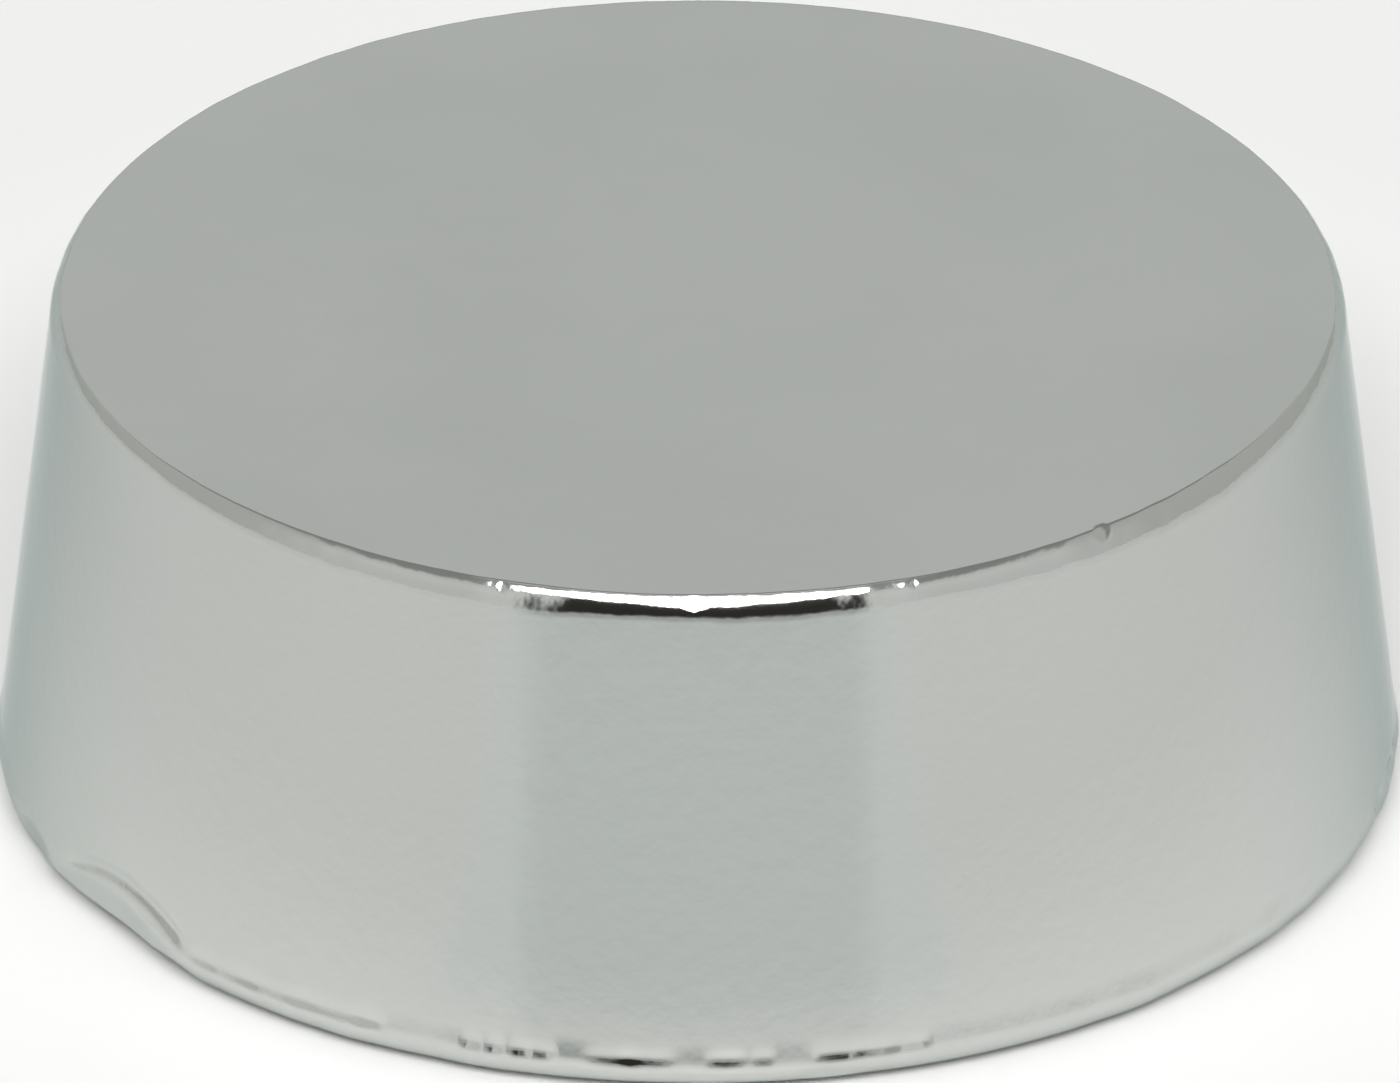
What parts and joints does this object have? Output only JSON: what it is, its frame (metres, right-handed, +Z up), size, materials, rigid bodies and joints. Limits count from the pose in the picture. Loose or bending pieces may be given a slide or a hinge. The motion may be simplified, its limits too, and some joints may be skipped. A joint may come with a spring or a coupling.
{
  "type": "dealer button",
  "caption": "Weighted metal dealer button: a plated, tapered round puck with a flat face, a steel ballast inside and a felt pad under a screwed base plate.",
  "frame": {"origin": "centre of the felt pad's underside, on the table", "axes": "+Z up along the button's axis, towards its flat face; the button is round, and its inner screws stand every third of a turn from +Y"},
  "size_m": [0.0508, 0.0508, 0.0189],
  "materials": {
    "nickel_plate": "polished",
    "turned_steel": "satin",
    "foam": "matte",
    "zinc_plated_steel": "satin",
    "screw_steel": "satin",
    "adhesive_film": "satin",
    "felt": "matte"
  },
  "bodies": {
    "root": {"cap": "nickel_plate", "ballast_slug": "turned_steel", "foam_disc": "foam", "base_plate": "zinc_plated_steel", "base_screws": "screw_steel", "pad_adhesive": "adhesive_film", "felt_pad": "felt"}
  },
  "joints": []
}
